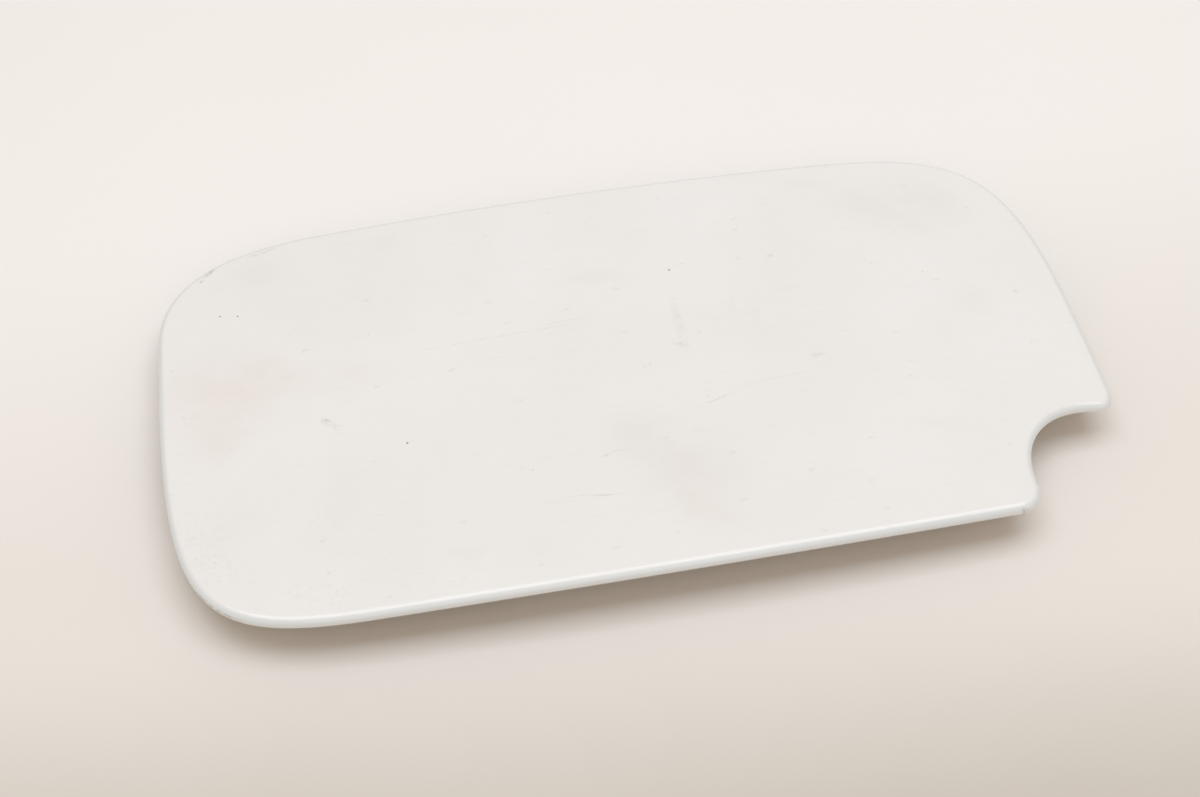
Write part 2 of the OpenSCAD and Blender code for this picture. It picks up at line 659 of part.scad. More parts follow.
// A round tube along a path, with its rings square to the path
function path_dir(p, i) = unit(p[min(i + 1, len(p) - 1)] - p[max(i - 1, 0)]);
module tube(path, r, sides) {
    n = len(path);
    rings = [for (i = [0 : n - 1])
        let (d = path_dir(path, i), u = unit(cross([0, 1, 0], d)), v = cross(d, u))
        each [for (k = [0 : sides - 1])
            path[i] + r * (cos(360 * k / sides) * u + sin(360 * k / sides) * v)]];
    sides_f = [for (i = [0 : n - 2], k = [0 : sides - 1])
        let (a = i * sides + k, b = i * sides + (k + 1) % sides)
        each [[a, b, b + sides], [a, b + sides, a + sides]]];
    caps = concat([for (k = [1 : sides - 2]) [0, k + 1, k]],
        [for (k = [1 : sides - 2]) let (a = (n - 1) * sides) [a, a + k, a + k + 1]]);
    polyhedron(points = rings, faces = [for (f = concat(sides_f, caps)) [f[2], f[1], f[0]]]);
}
module return_spring() {
    color(steel)
        translate([pin_x, 0, pin_h])
            tube(spring_path, wire_d / 2, 6);
}

// Push-in rubber buffer: foot on the car, neck in the seat ring, retaining head above it
module rubber_buffer(k) {
    r = buffer_d / 2;
    neck = buffer_hole_d / 2 - seat_gap;
    color(black)
        on_door(buffer_at[k])
            rotate_extrude($fn = 48)
                polygon([[0, 0], [r * 0.7, 0], [r * 0.82, 0.8], [r, seat_h - 2], [r, seat_h - seat_gap],
                    [neck, seat_h - seat_gap], [neck, seat_top + seat_gap],
                    [neck + buffer_lip, seat_top + seat_gap],
                    [neck + buffer_lip / 3, seat_top + buffer_head_h * 0.7],
                    [neck * 0.5, seat_top + buffer_head_h], [0, seat_top + buffer_head_h]]);
}

outer_skin();
inner_panel();
mastic_pad(0);  // mastic_pad_1
mastic_pad(1);  // mastic_pad_2
hinge_leaf();
leaf_screw(0);  // leaf_screw_1
leaf_screw(1);  // leaf_screw_2
leaf_screw(2);  // leaf_screw_3
leaf_washer(0);  // leaf_washer_1
leaf_washer(1);  // leaf_washer_2
leaf_washer(2);  // leaf_washer_3
weld_nut(0);  // weld_nut_1
weld_nut(1);  // weld_nut_2
weld_nut(2);  // weld_nut_3
hinge_plate();
hinge_pin();
pin_clip();
pin_bush(-1);  // pin_bush_near
pin_bush(1);  // pin_bush_far
return_spring();
rubber_buffer(0);  // rubber_buffer_1
rubber_buffer(1);  // rubber_buffer_2
rubber_buffer(2);  // rubber_buffer_3
rubber_buffer(3);  // rubber_buffer_4
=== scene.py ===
import json
import math

import bmesh
import bpy
import numpy as np
from mathutils import Matrix

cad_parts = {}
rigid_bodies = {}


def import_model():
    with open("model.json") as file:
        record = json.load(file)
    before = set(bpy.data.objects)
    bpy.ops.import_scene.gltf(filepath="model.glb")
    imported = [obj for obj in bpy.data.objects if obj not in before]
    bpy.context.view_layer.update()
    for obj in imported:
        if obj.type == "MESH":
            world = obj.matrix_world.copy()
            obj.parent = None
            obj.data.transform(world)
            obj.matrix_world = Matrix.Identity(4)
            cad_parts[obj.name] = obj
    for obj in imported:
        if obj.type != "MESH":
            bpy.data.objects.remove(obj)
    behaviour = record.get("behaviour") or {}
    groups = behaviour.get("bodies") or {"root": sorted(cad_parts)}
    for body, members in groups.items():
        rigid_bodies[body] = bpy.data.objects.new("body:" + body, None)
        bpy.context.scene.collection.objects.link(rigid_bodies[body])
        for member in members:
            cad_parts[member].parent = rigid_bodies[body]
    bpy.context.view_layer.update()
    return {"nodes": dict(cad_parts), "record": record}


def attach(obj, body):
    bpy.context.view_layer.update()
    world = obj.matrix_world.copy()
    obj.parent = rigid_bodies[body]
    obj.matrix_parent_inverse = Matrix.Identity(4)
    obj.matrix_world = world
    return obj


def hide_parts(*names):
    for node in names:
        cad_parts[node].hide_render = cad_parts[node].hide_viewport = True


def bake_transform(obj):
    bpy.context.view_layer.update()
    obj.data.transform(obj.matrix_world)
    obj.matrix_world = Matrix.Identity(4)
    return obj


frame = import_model()

# Sizes of the door in millimetres, as its solids have them
DOOR_L, DOOR_W = 236.0, 125.4
SIDE_BOW, END_BOW = 2.8, 0.5
DOOR_H, CROWN_L, CROWN_W = 16.5, 3.35, 1.45
SKIN_T, INNER_T, HEM_GAP = 0.9, 0.9, 0.15
RIM_R = SKIN_T + INNER_T / 2 + HEM_GAP
CORE_R = RIM_R - SKIN_T
HEM_RETURN, FLANGE_W, WALL_RUN, EDGE_GAP = 7.0, 11.5, 4.0, 0.5
SEAT_H = 8.6
SEAT_TOP = SEAT_H + INNER_T
FIELD_R, FIELD_GAP = 22.0, 2.0
FIELD_HINGE_X, FIELD_FREE_X = 71.0, 78.0
PIN_X, PIN_H, PIN_IN = -36.0, 4.6, 6.0
PLATE_T, LEAF_T, WASHER_T, SCREW_GAP = 2, 1.6, 0.9, 0.1
SCREW_IN, SCREW_STEP, SCREW_APART = 19.5, 9.0, 15.0
SCREW_HOLE_R, BUFFER_HOLE_R, LIGHT_HOLE_R, DRAIN_R, DRAIN_IN = 2.55, 3.0, 8.0, 2.5, 5
MID_X = PIN_X - PIN_IN + DOOR_L / 2
HALF_L, HALF_W = DOOR_L / 2 - END_BOW, DOOR_W / 2 - SIDE_BOW
SPINE_FROM, SPINE_TO = FIELD_HINGE_X - DOOR_L / 2, DOOR_L / 2 - FIELD_FREE_X
NOTCH_DEPTH, NOTCH_HEIGHT, NOTCH_FALL = 27.1, 27.3, 0.11
WALL_X, WALL_Y = HALF_L - NOTCH_DEPTH, NOTCH_HEIGHT - HALF_W
NOTCH_ROUND, HORN_ROUND, HORN_TIP, FOOT_UP, FOOT_OUT = 20.5, 5.9, 4, 6.4, 6.3
NOTCH_FULL, TIP_FULL = 0.58, 0.56

# Corner curves: length on the side, length on the end, fullness
HINGE_FAR, FREE_FAR, HINGE_NEAR = (42.7, 29.4, 0.67), (51.5, 59.5, 0.82), (47.8, 75, 0.88)

# The painted face starts to turn over this much further in than the solid's half round
SHOULDER = 0.5
MM = 0.001


def unit(v):
    v = np.array(v, float)
    return v / np.linalg.norm(v)


def side_y(x):
    return HALF_W + SIDE_BOW * (1 - (x / HALF_L) ** 2)


def end_x(y):
    return HALF_L + END_BOW * (1 - (y / HALF_W) ** 2)


def on_side(x, s):
    return np.array([x, s * side_y(x)])


def on_end(y, s):
    return np.array([s * end_x(y), y])


def side_dir(x, s):
    return unit([1, -2 * s * SIDE_BOW * x / HALF_L ** 2])


def end_dir(y, s):
    return unit([-2 * s * END_BOW * y / HALF_W ** 2, 1])


def curve(p0, d0, p3, d3, h0, h3, n):
    t = (np.arange(n) / n)[:, None]
    p1, p2 = p0 + d0 * h0, p3 + d3 * h3
    return (1 - t) ** 3 * p0 + 3 * (1 - t) ** 2 * t * p1 + 3 * (1 - t) * t * t * p2 + t ** 3 * p3


def straight(p0, p1, n):
    t = (np.arange(n) / n)[:, None]
    return np.array(p0) * (1 - t) + np.array(p1) * t


def corner(sx, sy, along_side, along_end, full, n):
    x, y = sx * (HALF_L - along_side), sy * (HALF_W - along_end)
    return curve(on_side(x, sy), side_dir(x, sy) * sx, on_end(y, sx), end_dir(y, sx) * sy,
                 along_side * full, along_end * full, n)


def bowed_side(x0, x1, s, n):
    return np.array([on_side(x0 + (x1 - x0) * i / n, s) for i in range(n)])


def bowed_end(y0, y1, s, n):
    return np.array([on_end(y0 + (y1 - y0) * i / n, s) for i in range(n)])


def door_outline(k):
    """The door's outline, clockwise seen from outside the car. Its points lie closer with a larger k."""
    notch_in = np.array([WALL_X, WALL_Y])
    horn = np.array([end_x(WALL_Y), WALL_Y - NOTCH_FALL * (end_x(WALL_Y) - WALL_X)])
    foot = on_side(WALL_X, -1)
    to_in, horn_up, foot_out = unit(notch_in - horn), end_dir(horn[1], 1), -side_dir(WALL_X, -1)
    down = np.array([0, -1.0])
    hinge_far = corner(-1, 1, *HINGE_FAR, 16 * k)
    return np.concatenate([
        bowed_side(HINGE_FAR[0] - HALF_L, HALF_L - FREE_FAR[0], 1, 12 * k),
        corner(1, 1, *FREE_FAR, 18 * k),
        bowed_end(HALF_W - FREE_FAR[1], horn[1] + HORN_ROUND, 1, 4 * k),
        curve(horn + horn_up * HORN_ROUND, -horn_up, horn + to_in * HORN_TIP, -to_in,
              HORN_ROUND * TIP_FULL, HORN_TIP * TIP_FULL, 6 * k),
        straight(horn + to_in * HORN_TIP, notch_in - to_in * NOTCH_ROUND, 2 * k),
        curve(notch_in - to_in * NOTCH_ROUND, to_in, notch_in + down * NOTCH_ROUND, -down,
              NOTCH_ROUND * NOTCH_FULL, NOTCH_ROUND * NOTCH_FULL, 12 * k),
        straight(notch_in + down * NOTCH_ROUND, foot + [0, FOOT_UP], k),
        curve(foot + [0, FOOT_UP], down, foot + foot_out * FOOT_OUT, -foot_out,
              FOOT_UP * TIP_FULL, FOOT_OUT * TIP_FULL, 6 * k),
        bowed_side(WALL_X - FOOT_OUT, HINGE_NEAR[0] - HALF_L, -1, 13 * k),
        corner(-1, -1, *HINGE_NEAR, 18 * k),
        bowed_end(HINGE_NEAR[1] - HALF_W, HALF_W - HINGE_FAR[1], -1, 2 * k),
        [on_end(HALF_W - HINGE_FAR[1], -1)], hinge_far[:0:-1]])


OUTLINE = door_outline(4)
COUNT = len(OUTLINE)
tangent = np.roll(OUTLINE, -1, 0) - np.roll(OUTLINE, 1, 0)
tangent /= np.linalg.norm(tangent, axis=1)[:, None]
INWARD = np.stack([tangent[:, 1], -tangent[:, 0]], 1)
ROUND_AT = OUTLINE + INWARD * RIM_R
RAY_END = np.stack([np.clip(ROUND_AT[:, 0], SPINE_FROM, SPINE_TO), np.zeros(COUNT)], 1)
RAY = RAY_END - ROUND_AT
RAY /= np.linalg.norm(RAY, axis=1)[:, None]
SPINE_N = 61
SPINE = np.stack([np.linspace(SPINE_FROM, SPINE_TO, SPINE_N), np.zeros(SPINE_N)], 1)


def crown(p):
    return -CROWN_L * (2 * p[:, 0] / DOOR_L) ** 2 - CROWN_W * (2 * p[:, 1] / DOOR_W) ** 2


def ring(p, z):
    return np.column_stack([p, np.broadcast_to(z, len(p))])


def part_way(t):
    return ROUND_AT + (RAY_END - ROUND_AT) * t


def along(d):
    return ROUND_AT + RAY * d


def make_piece(name, verts_mm, faces):
    mesh = bpy.data.meshes.new(name)
    mesh.from_pydata([tuple(v) for v in np.asarray(verts_mm) * MM], [], faces)
    piece = bpy.data.objects.new(name, mesh)
    bpy.context.scene.collection.objects.link(piece)
    return piece


def point_outwards(piece):
    bm = bmesh.new()
    bm.from_mesh(piece.data)
    bmesh.ops.remove_doubles(bm, verts=bm.verts, dist=1e-6)
    bmesh.ops.recalc_face_normals(bm, faces=bm.faces)
    bm.to_mesh(piece.data)
    bm.free()


def shade(piece, degrees):
    piece.data.shade_smooth()
    piece.data.set_sharp_from_angle(angle=math.radians(degrees))


def closed_sheet(name, rings, first_spine, last_spine):
    """A closed sheet from rings that run from one side's middle over the edge to the other's."""
    n = len(rings)
    verts = np.concatenate(rings + [first_spine, last_spine])
    spine_of = np.rint((RAY_END[:, 0] - SPINE_FROM) / (SPINE_TO - SPINE_FROM) * (SPINE_N - 1)).astype(int)
    faces = []
    for k in range(n - 1):
        for i in range(COUNT):
            j = (i + 1) % COUNT
            faces.append((k * COUNT + i, k * COUNT + j, (k + 1) * COUNT + j, (k + 1) * COUNT + i))
    for start, spine in ((0, n * COUNT), ((n - 1) * COUNT, n * COUNT + SPINE_N)):
        for i in range(COUNT):
            j = (i + 1) % COUNT
            u, v = int(spine_of[i]), int(spine_of[j])
            faces.append((start + i, start + j, spine + v))
            step = 1 if v > u else -1
            for w in range(u, v, step):
                faces.append((start + i, spine + w + step, spine + w))
    piece = make_piece(name, verts, faces)
    point_outwards(piece)
    return piece


class Wire:
    """A socket that takes part in sums. Each sum adds its Math node to the tree."""

    def __init__(self, tree, socket):
        self.tree, self.socket = tree, socket

    def _math(self, operation, a, b):
        return self.tree.add("ShaderNodeMath", {"operation": operation}, {0: a, 1: b})[0]

    def __add__(self, other):
        return self._math("ADD", self, other)

    def __radd__(self, other):
        return self._math("ADD", other, self)

    def __sub__(self, other):
        return self._math("SUBTRACT", self, other)

    def __rsub__(self, other):
        return self._math("SUBTRACT", other, self)

    def __mul__(self, other):
        return self._math("MULTIPLY", self, other)

    def __rmul__(self, other):
        return self._math("MULTIPLY", other, self)

    def __truediv__(self, other):
        return self._math("DIVIDE", self, other)

    def __rtruediv__(self, other):
        return self._math("DIVIDE", other, self)


class Tree:
    """A node tree with one method that adds any node."""

    def __init__(self, nodes_of):
        self.nodes, self.links = nodes_of.nodes, nodes_of.links

    def add(self, kind, settings=None, values=None):
        """Adds a node of a kind, sets it up, then sets or links its inputs. Returns its outputs as wires."""
        node = self.nodes.new(kind)
        for key, value in (settings or {}).items():
            setattr(node, key, value)
        for key, value in (values or {}).items():
            socket = node.inputs[key]
            if isinstance(value, Wire):
                self.links.new(value.socket, socket)
            else:
                socket.default_value = value
        return Outputs(self, node)


class Outputs:
    """The outputs of a node, by number or by name."""

    def __init__(self, tree, node):
        self.tree, self.node = tree, node

    def __getitem__(self, key):
        return Wire(self.tree, self.node.outputs[key])


class Finish(Tree):
    """A material whose patterns lie in the piece's own coordinates."""

    def __init__(self, name):
        self.material = bpy.data.materials.new(name)
        self.material.use_nodes = True
        super().__init__(self.material.node_tree)
        self.nodes.clear()
        self.place = self.add("ShaderNodeTexCoord")["Object"]

    def grain(self, size_mm, detail=3.0, rough=0.55, stretch=(1, 1, 1)):
        """Noise with features of about size_mm, longer along an axis whose stretch is larger."""
        scale = tuple(1 / s for s in stretch)
        at = self.add("ShaderNodeMapping", {}, {"Vector": self.place, "Scale": scale})[0]
        return self.add("ShaderNodeTexNoise", {}, {"Vector": at, "Scale": 1 / (size_mm * MM),
                                                    "Detail": detail, "Roughness": rough})["Fac"]

    def limit(self, value, low, high, to_low=0.0, to_high=1.0):
        """Maps low to high smoothly on to to_low to to_high."""
        return self.add("ShaderNodeMapRange", {"interpolation_type": "SMOOTHSTEP"},
                        {"Value": value, "From Min": low, "From Max": high,
                         "To Min": to_low, "To Max": to_high})[0]

    def vector(self, operation, *values):
        return self.add("ShaderNodeVectorMath", {"operation": operation}, dict(enumerate(values)))[0]

    def spot(self, x, y, long, wide, turn, soft, wander):
        """A soft-edged oval on the door at x, y in millimetres, turned by degrees about its middle."""
        at = self.add("ShaderNodeMapping", {"vector_type": "TEXTURE"},
                      {"Vector": wander, "Location": (x * MM, y * MM, 0),
                       "Rotation": (0, 0, math.radians(turn)), "Scale": (long * MM, wide * MM, 10)})[0]
        far = self.add("ShaderNodeVectorMath", {"operation": "LENGTH"}, {0: at})["Value"]
        return self.limit(far, 1 - soft, 1 + soft * 0.4, 1, 0)

    def marks(self, rows, wander):
        """The sum of soft ovals, each with its own strength."""
        total = 0
        for x, y, long, wide, turn, soft, strength in rows:
            total = self.spot(x, y, long, wide, turn, soft, wander) * strength + total
        return total

    def tint(self, share, a, b):
        """Colour a where share is 0 and colour b where it is 1."""
        def colour(c):
            return c if isinstance(c, Wire) else (*c, 1)
        return self.add("ShaderNodeMix", {"data_type": "RGBA"}, {0: share, 6: colour(a), 7: colour(b)})[2]

    def bumps(self, height, depth_mm, strength=1.0, under=None):
        values = {"Height": height, "Distance": depth_mm * MM, "Strength": strength}
        if under is not None:
            values["Normal"] = under
        return self.add("ShaderNodeBump", {}, values)["Normal"]

    def surface(self, **values):
        shader = self.add("ShaderNodeBsdfPrincipled", {}, {k.replace("_", " "): v for k, v in values.items()})[0]
        self.add("ShaderNodeOutputMaterial", {}, {"Surface": shader})
        return self.material


WHITE = (0.86, 0.827, 0.82)

# Marks on the painted face: x, y, half length and half width in mm, turn in degrees, softness, strength
WARM_STAINS = ((-25.6, 10, 22, 17, -9, 0.9, 0.7), (-29, -7, 12, 11, -13, 0.9, 0.35),
               (6, 10, 27, 9, -12, 0.9, 0.35), (86, -43, 11, 9, -39, 0.9, 0.4),
               (85.4, -52.0, 14, 7, -60, 0.9, 0.35), (-20.7, 41, 10, 4.5, -5, 0.9, 0.25),
               (166, 3, 9, 9, 0, 0.9, 0.15))
GREY_STAINS = ((83.4, -37, 26, 16, -62, 0.9, 0.5), (75.3, -21.7, 11, 7, -58, 0.9, 0.25),
               (159.5, 41, 27, 15, -10, 0.7, 0.42), (136, 54.3, 9, 5, -10, 0.9, 0.3),
               (166.4, 2.6, 9, 8, -9, 0.9, 0.25), (70.9, 28.7, 18, 5.5, -7, 0.9, 0.35),
               (19.2, 50.7, 9, 5, -3, 0.9, 0.3), (-12.6, 50, 12, 7, 10, 0.9, 0.3),
               (108, 6.2, 17, 14, -10, 0.9, 0.3), (30, -49.3, 6, 3.6, 0, 0.9, 0.4),
               (45.6, -51.8, 7, 3, 2, 0.9, 0.25), (151.9, -36.3, 15, 2.2, -13, 0.9, 0.3),
               (0, -30, 9, 26, -20, 0.9, 0.15), (-5, -38, 46, 22, -10, 0.9, 0.22),
               (50, -8, 20, 9, -8, 0.9, 0.12))
SPECKLED = ((-31, -37, 14, 7, -67, 0.9, 0.75), (-7.2, -55.1, 15, 4.2, -9, 0.9, 0.9),
            (26, -56, 20, 3, 2, 0.9, 0.5), (-10, -30, 28, 20, -12, 0.9, 0.28), (-36, 4, 4, 34, 0, 0.9, 0.45),
            (-14, 51, 12, 6, 14, 0.9, 0.5), (20, 4, 30, 30, 0, 0.9, 0.16), (120, -28, 50, 22, -10, 0.9, 0.12))
RUBS = ((91.2, 8.6, 8.5, 1.5, -89, 0.9, 0.2), (90.2, 2.1, 2.8, 1.3, -21, 0.8, 0.28),
        (0.7, -6.3, 4.2, 1.3, -53, 0.8, 0.24), (-1.2, -4.6, 1.4, 1.1, 0, 0.7, 0.38),
        (123.3, -7.7, 2.2, 1.2, 8, 0.8, 0.3), (120.1, 28.1, 1.2, 0.9, 0, 0.8, 0.35),
        (106, 12, 1.4, 9, -12, 0.9, 0.07), (112, 10, 1.2, 8, -8, 0.9, 0.06))
SCRATCHES = ((43.1, 13.6, 26, 0.30, 0.5, 0.6, 0.22), (61, 15.2, 9, 0.25, 4, 0.6, 0.2),
             (95.2, -16.9, 6, 0.22, 18, 0.6, 0.42), (111, -13.4, 10, 0.2, 6, 0.6, 0.28),
             (66.3, -28.2, 1.9, 0.26, 16, 0.6, 0.6), (69.4, -27.7, 2, 0.22, -8, 0.6, 0.5),
             (60.5, -39.7, 8, 0.2, -8, 0.6, 0.34), (63.5, -40.3, 4, 0.24, -6, 0.6, 0.25),
             (111, -47.5, 4.4, 0.2, -40, 0.6, 0.1), (151, -50, 5.2, 0.2, -38, 0.6, 0.09),
             (134, -1, 12, 0.16, -12, 0.6, 0.1), (24, -24, 9, 0.16, -30, 0.6, 0.08))
SPECKS = ((92.4, 28.4, 0.34, 0.28, 0, 0.5, 0.8), (-25.3, 36.5, 0.34, 0.26, 0, 0.5, 0.7),
          (-20.8, 35.7, 0.3, 0.24, 0, 0.5, 0.8), (18.8, -15.3, 0.34, 0.3, 0, 0.5, 0.8),
          (158.8, 15.5, 0.26, 0.22, 0, 0.5, 0.4), (12.6, 21.3, 0.22, 0.2, 0, 0.5, 0.4),
          (105, 61.9, 0.5, 0.4, 0, 0.6, 0.8), (47, -30, 0.18, 0.16, 0, 0.5, 0.5),
          (143, -22, 0.2, 0.16, 0, 0.5, 0.4), (133, 40, 0.2, 0.16, 0, 0.5, 0.35),
          (76, 52, 0.22, 0.2, 0, 0.5, 0.35))
EDGE_CHIPS = ((-27.2, 53.2, 3, 0.9, 44, 0.9, 0.36), (-29.6, 50.6, 1.6, 0.6, 50, 0.9, 0.3),
              (-13, 57.5, 5.4, 0.8, 15, 0.9, 0.26), (160.8, -60.9, 1.4, 0.8, -25, 0.8, 0.4),
              (163.4, -61, 2.2, 0.4, 10, 0.8, 0.4), (191.6, -16, 13, 0.5, -92, 0.9, 0.12),
              (66, 62.7, 2.2, 0.4, 0, 0.8, 0.2))
RIM_CHIPS = ((-31.8, -51.2, 7, 4, -50, 0.6, 0.4), (-26.5, -56.3, 4, 3, -35, 0.6, 0.25))


def outer_paint():
    """Gloss white paint with handling stains, rubs, fine scratches, specks and small chips at the rim, and painted
    shade and painted bounce light on the rim.
    """
    f = Finish("outer_paint")
    wander = f.add("ShaderNodeTexNoise", {}, {"Vector": f.place, "Scale": 45.0, "Detail": 4.0})["Color"]
    shifted = f.vector("SUBTRACT", wander, (0.5, 0.5, 0.5))
    bent = f.vector("MULTIPLY_ADD", shifted, (0.016, 0.016, 0), f.place)
    slight = f.vector("MULTIPLY_ADD", shifted, (0.003, 0.003, 0), f.place)

    # Stains, broken up by clouds of two sizes
    cloud = f.grain(38, 3, 0.5)
    blotch = f.limit(f.grain(9, 5, 0.6), 0.32, 0.68, 0.7, 1.15)
    warm = f.limit(f.marks(WARM_STAINS, bent) * blotch, 0, 1)
    grey = f.limit(f.marks(GREY_STAINS, bent) * blotch, 0, 1)
    body = f.tint(f.limit(cloud, 0.35, 0.7), WHITE, (0.838, 0.804, 0.790))
    body = f.tint(warm, body, (0.828, 0.766, 0.724))
    body = f.tint(grey, body, (0.785, 0.742, 0.722))

    # Fine dirt: wiped streaks and dashes everywhere, speckles near the edges
    streak = f.limit(f.grain(1.4, 5, 0.68, (5, 1, 1)), 0.52, 0.72)
    body = f.tint(streak * 0.14, body, (0.73, 0.70, 0.68))
    speckle = f.limit(f.grain(1.5, 6, 0.74), 0.50, 0.64)
    speckled = speckle * f.limit(f.marks(SPECKLED, bent), 0, 1)
    body = f.tint(speckled * 0.34, body, (0.68, 0.65, 0.62))
    ragged = f.add("ShaderNodeTexNoise", {}, {"Vector": f.place, "Scale": 500.0, "Detail": 3.0})["Color"]
    ragged = f.vector("MULTIPLY_ADD", ragged, (0.004, 0.0026, 0), slight)
    drawn_out = f.vector("MULTIPLY", ragged, (0.5, 1, 0))
    cells = f.add("ShaderNodeTexVoronoi", {"voronoi_dimensions": "2D"}, {"Vector": drawn_out, "Scale": 120.0})
    chance = f.add("ShaderNodeSeparateXYZ", {}, {0: cells["Color"]})["X"]
    dashes = f.limit(cells["Distance"], 0.01, 0.075, 1, 0) * f.limit(chance, 0.35, 1, 0, 0.28)
    body = f.tint(dashes, body, (0.62, 0.58, 0.55))

    # Painted shade: cooler, darker colour on the rim's shoulder where it turns over, damping its highlight;
    # painted bounce light: lighter again lower down the rim and under the hem
    facing = f.add("ShaderNodeSeparateXYZ", {}, {0: f.add("ShaderNodeTexCoord")["Normal"]})["Z"]
    body = f.tint(f.limit(facing, 0.997, 0.86), body, (0.75, 0.76, 0.77))
    body = f.tint(f.limit(facing, 0.6, 0.1), body, (0.825, 0.83, 0.835))

    # Rubbed marks, scratches, specks and chips down to the primer
    rub = f.limit(f.grain(0.8, 4, 0.65), 0.36, 0.6) * f.marks(RUBS, slight)
    body = f.tint(rub, body, (0.55, 0.52, 0.49))
    lines = f.marks(SCRATCHES, slight) * f.limit(f.grain(2.6, 3, 0.6), 0.38, 0.6, 0.15, 0.7)
    body = f.tint(lines, body, (0.50, 0.46, 0.42))
    shoulder = f.limit(facing, 0.6, 0.45) * f.limit(facing, 0.05, 0.2)
    chips = f.marks(EDGE_CHIPS, slight) + f.marks(RIM_CHIPS, slight) * shoulder
    chips = f.limit(chips * f.limit(f.grain(1.1, 4, 0.6), 0.34, 0.6, 0.3, 1.3), 0, 1)
    body = f.tint(chips, body, (0.36, 0.29, 0.22))
    specks = f.limit(f.marks(SPECKS, slight), 0, 1)
    body = f.tint(specks, body, (0.17, 0.12, 0.09))

    # Road dirt on the underside of the hem
    dirt = f.limit(facing, -0.9, -0.35, 0.75, 0) * f.limit(f.grain(5, 5, 0.65), 0.3, 0.6, 0.5, 1)
    body = f.tint(dirt, body, (0.50, 0.43, 0.35))

    relief = f.bumps(f.grain(1.4, 2, 0.5), 0.006, 0.35)
    relief = f.bumps(1 - f.limit(lines + specks + chips, 0, 1), 0.05, 0.6, relief)
    gloss = f.limit(cloud, 0.3, 0.7, 0.12, 0.17) + speckled * 0.1 + rub * 0.15 + (warm + grey) * 0.04
    return f.surface(Base_Color=body, Roughness=gloss, Normal=relief, IOR=1.5)


def inner_paint():
    """The same white as it lies inside: thinner, duller and dusty."""
    f = Finish("inner_paint")
    cloud = f.grain(26, 4, 0.55)
    dust = f.limit(f.grain(3.2, 5, 0.7), 0.45, 0.72)
    body = f.tint(f.limit(cloud, 0.3, 0.7), (0.70, 0.66, 0.60), (0.61, 0.555, 0.485))
    body = f.tint(dust * 0.35, body, (0.44, 0.38, 0.31))
    low_z = f.limit(f.add("ShaderNodeSeparateXYZ", {}, {0: f.place})["Z"], 0.0086, 0.0115, 0.22, 0)
    body = f.tint(low_z, body, (0.52, 0.47, 0.41))
    relief = f.bumps(f.grain(0.8, 3, 0.6), 0.02, 0.4)
    return f.surface(Base_Color=body, Roughness=f.limit(dust, 0, 1, 0.42, 0.68), Normal=relief, IOR=1.5)


def zinc():
    """Dulled zinc plating on folded sheet, with a bloom and a little rust tint."""
    f = Finish("zinc_plating")
    crystal = f.add("ShaderNodeTexVoronoi", {"feature": "F1"}, {"Vector": f.place, "Scale": 420.0})["Color"]
    patch = f.add("ShaderNodeSeparateColor", {}, {0: crystal})[0]
    cloud = f.grain(7, 4, 0.6)
    body = f.tint(f.limit(patch, 0, 1, 0.1, 0.9), (0.56, 0.56, 0.55), (0.66, 0.66, 0.64))
    body = f.tint(f.limit(cloud, 0.55, 0.75, 0, 0.4), body, (0.74, 0.73, 0.70))
    rust = f.limit(f.grain(2.2, 6, 0.7), 0.62, 0.74)
    body = f.tint(rust * 0.4, body, (0.33, 0.19, 0.10))
    brush = f.grain(0.5, 3, 0.6, (6, 1, 1))
    return f.surface(Base_Color=body, Metallic=f.limit(rust, 0, 1, 0.95, 0.3),
                     Roughness=f.limit(cloud, 0.3, 0.7, 0.34, 0.52) + rust * 0.25,
                     Normal=f.bumps(brush, 0.01, 0.3))


def plated_steel():
    """Turned and formed steel with a thin yellowish plating."""
    f = Finish("plated_steel")
    cloud = f.grain(1.8, 4, 0.6)
    body = f.tint(f.limit(cloud, 0.35, 0.7), (0.60, 0.57, 0.49), (0.50, 0.46, 0.38))
    rust = f.limit(f.grain(0.9, 5, 0.7), 0.64, 0.76)
    body = f.tint(rust * 0.45, body, (0.27, 0.15, 0.08))
    return f.surface(Base_Color=body, Metallic=f.limit(rust, 0, 1, 0.95, 0.35),
                     Roughness=f.limit(cloud, 0.3, 0.7, 0.28, 0.45) + rust * 0.25,
                     Normal=f.bumps(f.grain(0.35, 3, 0.6), 0.01, 0.35))


def spring_wire():
    """Dark oil-hardened wire."""
    f = Finish("spring_wire")
    cloud = f.grain(1.2, 4, 0.6)
    body = f.tint(f.limit(cloud, 0.35, 0.7), (0.21, 0.21, 0.22), (0.12, 0.115, 0.11))
    return f.surface(Base_Color=body, Metallic=0.9, Roughness=f.limit(cloud, 0.3, 0.7, 0.3, 0.48),
                     Normal=f.bumps(f.grain(0.3, 2, 0.6), 0.006, 0.4))


def natural_nylon():
    f = Finish("natural_nylon")
    cloud = f.grain(2.4, 3, 0.5)
    body = f.tint(f.limit(cloud, 0.3, 0.7), (0.78, 0.75, 0.66), (0.70, 0.655, 0.54))
    return f.surface(Base_Color=body, Roughness=f.limit(cloud, 0.3, 0.7, 0.38, 0.5), IOR=1.53,
                     Normal=f.bumps(f.grain(0.5, 2, 0.5), 0.008, 0.3))


